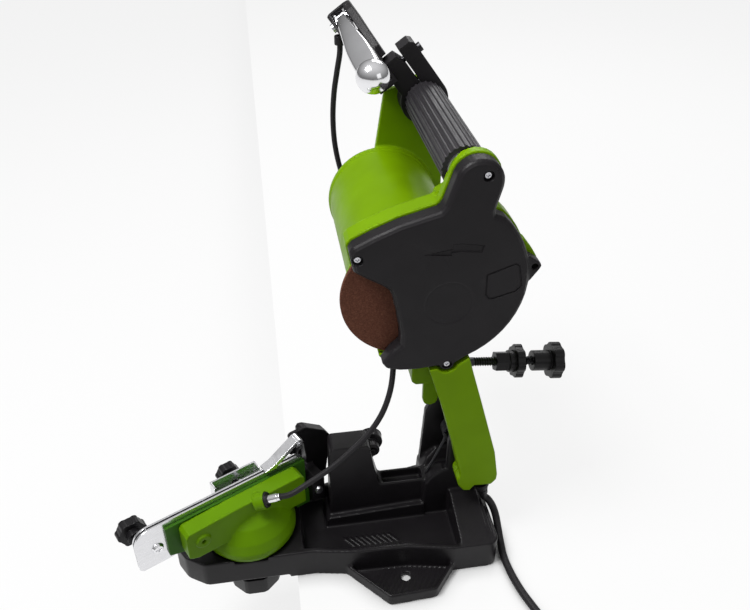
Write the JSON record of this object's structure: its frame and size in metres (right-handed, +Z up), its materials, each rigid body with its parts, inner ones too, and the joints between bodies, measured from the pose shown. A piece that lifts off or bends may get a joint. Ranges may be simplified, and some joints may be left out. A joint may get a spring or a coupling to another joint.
{
  "type": "electric chainsaw sharpener",
  "caption": "Bench grinder for saw chain: wheel head on a sprung hinge, brake lever on the handle, swivelling chain vise.",
  "frame": {"origin": "centre of the line between the two bench holes, on the bench face; the grinding wheel lies in the plane Y = 0", "axes": "+Z up, +X to the rear of the machine, +Y along the motor, away from the side cover"},
  "size_m": [0.4767, 0.4777, 0.4787],
  "materials": {
    "green_housing": "satin moulded",
    "green_cast": "satin painted casting",
    "black_cover": "fine grained moulded",
    "black_base": "black painted casting",
    "black_knob": "moulded",
    "black_steel": "blackened",
    "grip_rubber": "soft ribbed",
    "cord_rubber": "smooth",
    "plated_steel": "zinc plated",
    "bright_steel": "polished",
    "rail_steel": "bright pressed",
    "abrasive": "bonded grit",
    "windings": "laminations and copper",
    "switch_red": "moulded"
  },
  "bodies": {
    "base": {"base": "black_base", "torsion_spring": "black_steel", "power_cord": "cord_rubber", "cord_coil": "cord_rubber", "plug_body": "cord_rubber", "plug_pins": "plated_steel"},
    "head": {"motor_housing": "green_housing", "end_cap": "black_cover", "end_cap_screws": "plated_steel", "wheel_cover": "black_cover", "cover_screws": "plated_steel", "arm_shell_near": "green_housing", "arm_shell_far": "green_housing", "arm_screws": "plated_steel", "hinge_pin": "plated_steel", "strain_relief": "cord_rubber", "handle_tube": "plated_steel", "grip": "grip_rubber", "lever_clamp": "black_cover", "clamp_screw": "black_steel", "lever_bracket": "black_steel", "lever_pivot": "plated_steel", "brake_cable": "cord_rubber", "motor_stator": "windings", "motor_bearings": "bright_steel", "switch_body": "black_cover"},
    "spindle": {"motor_rotor": "plated_steel", "wheel_flanges": "plated_steel", "arbor_nut": "plated_steel", "grinding_wheel": "abrasive"},
    "lever": {"brake_lever": "bright_steel", "cable_nipple": "plated_steel"},
    "depth": {"depth_screw": "black_steel", "depth_knob": "black_knob"},
    "lock": {"lock_knob": "black_knob"},
    "rocker": {"switch_rocker": "switch_red"},
    "vise": {"vise_body": "green_cast", "vise_cover": "green_housing", "rail_near": "rail_steel", "rail_screw": "bright_steel", "u_bracket": "rail_steel", "arch_bracket": "black_base", "bracket_screws": "plated_steel", "pawl_pin": "plated_steel", "cable_ferrule": "bright_steel", "cable_grommet": "cord_rubber", "swivel_bolt": "plated_steel", "jaw_spring": "plated_steel"},
    "jaw": {"rail_far": "rail_steel", "pull_rod": "plated_steel"},
    "rail_turn": {"rail_knob": "black_knob"},
    "mid_turn": {"mid_knob": "black_knob"},
    "pawl_turn": {"pawl_knob": "black_knob"},
    "pawl": {"chain_pawl": "bright_steel"},
    "angle": {"angle_knob": "black_knob"},
    "stop": {"stop_knob": "black_knob"}
  },
  "joints": [
    {"name": "head_swing", "type": "hinge", "parent": "base", "child": "head", "pos_m": [0.058, 0, 0.1045], "axis": [0, -1, 0], "range_deg": [0, 56], "stiffness_Nm_per_rad": 2.5, "springref_deg": -57.3, "deforming": ["torsion_spring", "brake_cable"]},
    {"name": "wheel_spin", "type": "hinge", "parent": "head", "child": "spindle", "pos_m": [0.008, 0, 0.26907], "axis": [0, 1, 0], "continuous": true},
    {"name": "lever_squeeze", "type": "hinge", "parent": "head", "child": "lever", "pos_m": [-0.01595, 0.188, 0.42642], "axis": [0.809, 0, 0.5878], "range_deg": [0, 18], "stiffness_Nm_per_rad": 0.6, "springref_deg": -17.19},
    {"name": "depth_slide", "type": "slide", "parent": "head", "child": "depth", "axis": [0.9952, 0, -0.0976], "range_m": [-0.004, 0.01]},
    {"name": "lock_turn", "type": "hinge", "parent": "depth", "child": "lock", "pos_m": [0.1, 0.02, 0.17776], "axis": [0.9952, 0, -0.0976], "continuous": true},
    {"name": "rocker_tilt", "type": "hinge", "parent": "head", "child": "rocker", "pos_m": [0.012, 0.166, 0.29657], "axis": [1, 0, 0], "range_deg": [0, 12]},
    {"name": "vise_swivel", "type": "hinge", "parent": "base", "child": "vise", "pos_m": [-0.1345, 0, 0.027], "axis": [0, 0, 1], "range_deg": [0, 98]},
    {"name": "jaw_slide", "type": "slide", "parent": "vise", "child": "jaw", "axis": [0.454, -0.891, 0], "range_m": [0, 0.0012], "deforming": ["jaw_spring"]},
    {"name": "rail_knob_turn", "type": "hinge", "parent": "vise", "child": "rail_turn", "pos_m": [-0.23092, -0.02443, 0.07], "axis": [-0.454, 0.891, 0], "continuous": true},
    {"name": "mid_knob_turn", "type": "hinge", "parent": "vise", "child": "mid_turn", "pos_m": [-0.14721, 0.02495, 0.069], "axis": [-0.454, 0.891, 0], "continuous": true},
    {"name": "pawl_knob_turn", "type": "hinge", "parent": "vise", "child": "pawl_turn", "pos_m": [-0.08121, 0.0496, 0.071], "axis": [-0.454, 0.891, 0], "continuous": true},
    {"name": "pawl_swing", "type": "hinge", "parent": "vise", "child": "pawl", "pos_m": [-0.08639, 0.02451, 0.107], "axis": [-0.454, 0.891, 0], "range_deg": [0, 45]},
    {"name": "angle_knob_turn", "type": "hinge", "parent": "vise", "child": "angle", "pos_m": [-0.1345, 0, -0.02], "axis": [0, 0, 1], "continuous": true},
    {"name": "stop_knob_turn", "type": "hinge", "parent": "base", "child": "stop", "pos_m": [-0.018, 0.034, 0.087], "axis": [0, 1, 0], "continuous": true}
  ],
  "couplings": [
    {"joint": "jaw_slide", "follows": "lever_squeeze", "m_per_rad": 0.0038}
  ]
}
